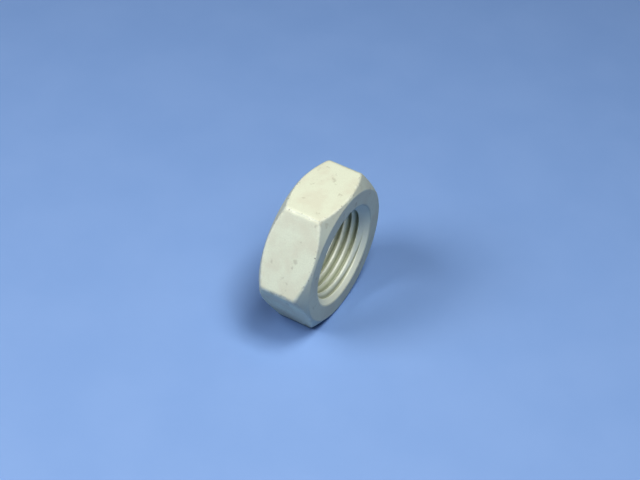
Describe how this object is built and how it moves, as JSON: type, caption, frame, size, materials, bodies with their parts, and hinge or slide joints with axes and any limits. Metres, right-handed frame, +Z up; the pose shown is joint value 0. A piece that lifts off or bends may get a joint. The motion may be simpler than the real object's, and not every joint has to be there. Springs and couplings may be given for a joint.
{
  "type": "hex nut",
  "caption": "Thin hexagon nut, chamfered on both faces, with a fine right-hand thread through it.",
  "frame": {"origin": "on the surface that the nut stands on, under the middle of the nut", "axes": "+Z up, +Y along the bore away from the front face, +X across the corners"},
  "size_m": [0.0382, 0.0128, 0.033],
  "materials": {
    "coated_steel": "matt pale grey zinc flake coating, lightly worn along its edges"
  },
  "bodies": {
    "root": {"hex_nut": "coated_steel"}
  },
  "joints": []
}
